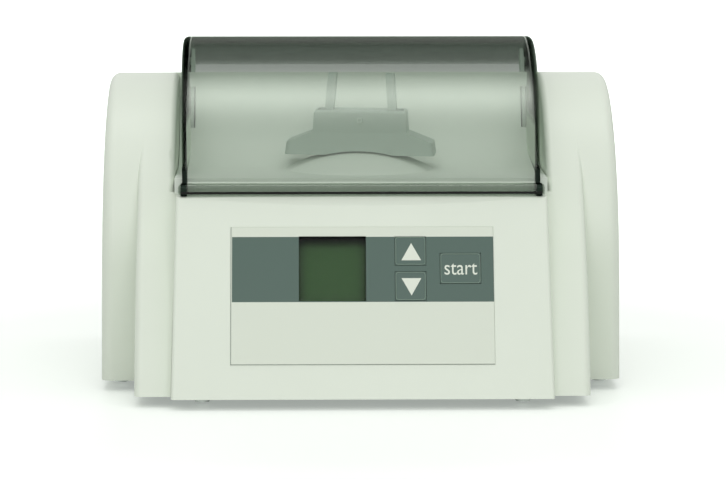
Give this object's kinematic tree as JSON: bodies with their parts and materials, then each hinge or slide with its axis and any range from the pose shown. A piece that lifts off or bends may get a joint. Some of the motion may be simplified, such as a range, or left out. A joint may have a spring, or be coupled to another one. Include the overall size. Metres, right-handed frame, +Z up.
{
  "type": "amalgamator",
  "caption": "Bench-top dental capsule mixer: arched pale housing, smoked hinged lid over a forked capsule holder on a wobble drive, sloping key panel with display.",
  "frame": {"origin": "middle of the overall box, on the surface that the feet stand on", "axes": "+X to the right as the user faces the keys, +Y to the back, +Z up"},
  "size_m": [0.25, 0.231, 0.165],
  "materials": {
    "housing": "satin moulded plastic, pale grey green",
    "chamber": "fine matt moulded plastic",
    "smoke": "smoked clear plastic",
    "panel": "printed film",
    "window": "green tinted display window",
    "keys": "grey green key caps",
    "dark_plastic": "black moulded plastic",
    "board": "green circuit board",
    "steel": "bright steel",
    "plated": "plated sheet steel",
    "zinc": "satin aluminium",
    "copper": "copper windings",
    "brass": "brass",
    "rubber": "black rubber",
    "fork": "pale grey nylon",
    "ribbon": "grey flat cable",
    "can": "drawn aluminium can"
  },
  "bodies": {
    "case": {"upper_housing": "housing", "front_cover": "housing", "membrane_panel": "panel", "display_window": "window", "display_module": "dark_plastic", "key_switches": "dark_plastic", "control_board": "board", "board_screws": "steel", "board_parts": "dark_plastic", "mixing_chamber": "chamber", "lid_sensor": "dark_plastic", "drive_frame": "plated", "rubber_mounts": "rubber", "mount_screws": "steel", "motor_screws": "steel", "guide_rods": "steel", "motor_can": "plated", "motor_cap": "zinc", "motor_bushes": "brass", "stator": "copper", "outboard_bearing": "steel", "base_plate": "dark_plastic", "rubber_feet": "rubber", "case_screws": "steel", "power_board": "board", "transformer_core": "plated", "transformer_coil": "copper", "power_components": "dark_plastic", "motor_capacitor": "can", "capacitor_clip": "dark_plastic", "ribbon_cable": "ribbon", "mains_inlet": "dark_plastic", "inlet_pins": "brass", "power_switch_body": "dark_plastic"},
    "lid": {"lid": "smoke", "lid_arm_left": "chamber", "lid_arm_right": "chamber", "hinge_shaft": "steel", "hinge_clips": "steel", "lid_magnet": "steel"},
    "drive_shaft": {"motor_shaft": "steel", "rotor": "plated", "skew_sleeve": "steel", "flywheel": "plated", "cooling_fan": "dark_plastic", "retaining_ring": "steel", "bearing_inner_ring": "steel"},
    "mixing_arm": {"mixing_arm": "zinc", "bearing_outer_ring": "steel", "bearing_balls": "steel", "capsule_carrier": "fork", "carrier_pin": "steel", "clamp_pins": "steel", "clamp_pads": "rubber"},
    "clamp_left": {"clamp_arm_left": "fork"},
    "clamp_right": {"clamp_arm_right": "fork"},
    "up_key": {"up_key": "keys"},
    "down_key": {"down_key": "keys"},
    "start_key": {"start_key": "keys"},
    "power_rocker": {"power_rocker": "dark_plastic"}
  },
  "joints": [
    {"name": "lid_hinge", "type": "hinge", "parent": "case", "child": "lid", "pos_m": [0, 0.0765, 0.112], "axis": [-1, 0, 0], "range_deg": [0, 80]},
    {"name": "shaft_spin", "type": "hinge", "parent": "case", "child": "drive_shaft", "pos_m": [0, -0.0135, 0.038], "axis": [1, 0, 0], "continuous": true},
    {"name": "arm_wobble", "type": "hinge", "parent": "drive_shaft", "child": "mixing_arm", "pos_m": [0, -0.0135, 0.038], "axis": [0.9962, -0.0867, -0.0091], "continuous": true},
    {"name": "left_clamp_hinge", "type": "hinge", "parent": "mixing_arm", "child": "clamp_left", "pos_m": [-0.01515, -0.01215, 0.12464], "axis": [-0.0867, -0.9962, 0.0004], "range_deg": [0, 8], "stiffness_Nm_per_rad": 0.9},
    {"name": "right_clamp_hinge", "type": "hinge", "parent": "mixing_arm", "child": "clamp_right", "pos_m": [0.01673, -0.01492, 0.12435], "axis": [0.0867, 0.9962, -0.0004], "range_deg": [0, 8], "stiffness_Nm_per_rad": 0.9},
    {"name": "up_key_press", "type": "slide", "parent": "case", "child": "up_key", "axis": [0, 0.9252, -0.3795], "range_m": [0, 0.0005], "stiffness_N_per_m": 3000, "springref_m": -0.0001},
    {"name": "down_key_press", "type": "slide", "parent": "case", "child": "down_key", "axis": [0, 0.9252, -0.3795], "range_m": [0, 0.0005], "stiffness_N_per_m": 3000, "springref_m": -0.0001},
    {"name": "start_key_press", "type": "slide", "parent": "case", "child": "start_key", "axis": [0, 0.9252, -0.3795], "range_m": [0, 0.0005], "stiffness_N_per_m": 3000, "springref_m": -0.0001},
    {"name": "power_switch_rock", "type": "hinge", "parent": "case", "child": "power_rocker", "pos_m": [0.042, 0.1095, 0.034], "axis": [-1, 0, 0], "range_deg": [0, 20]}
  ],
  "couplings": [
    {"joint": "arm_wobble", "follows": "shaft_spin", "ratio": -1}
  ]
}
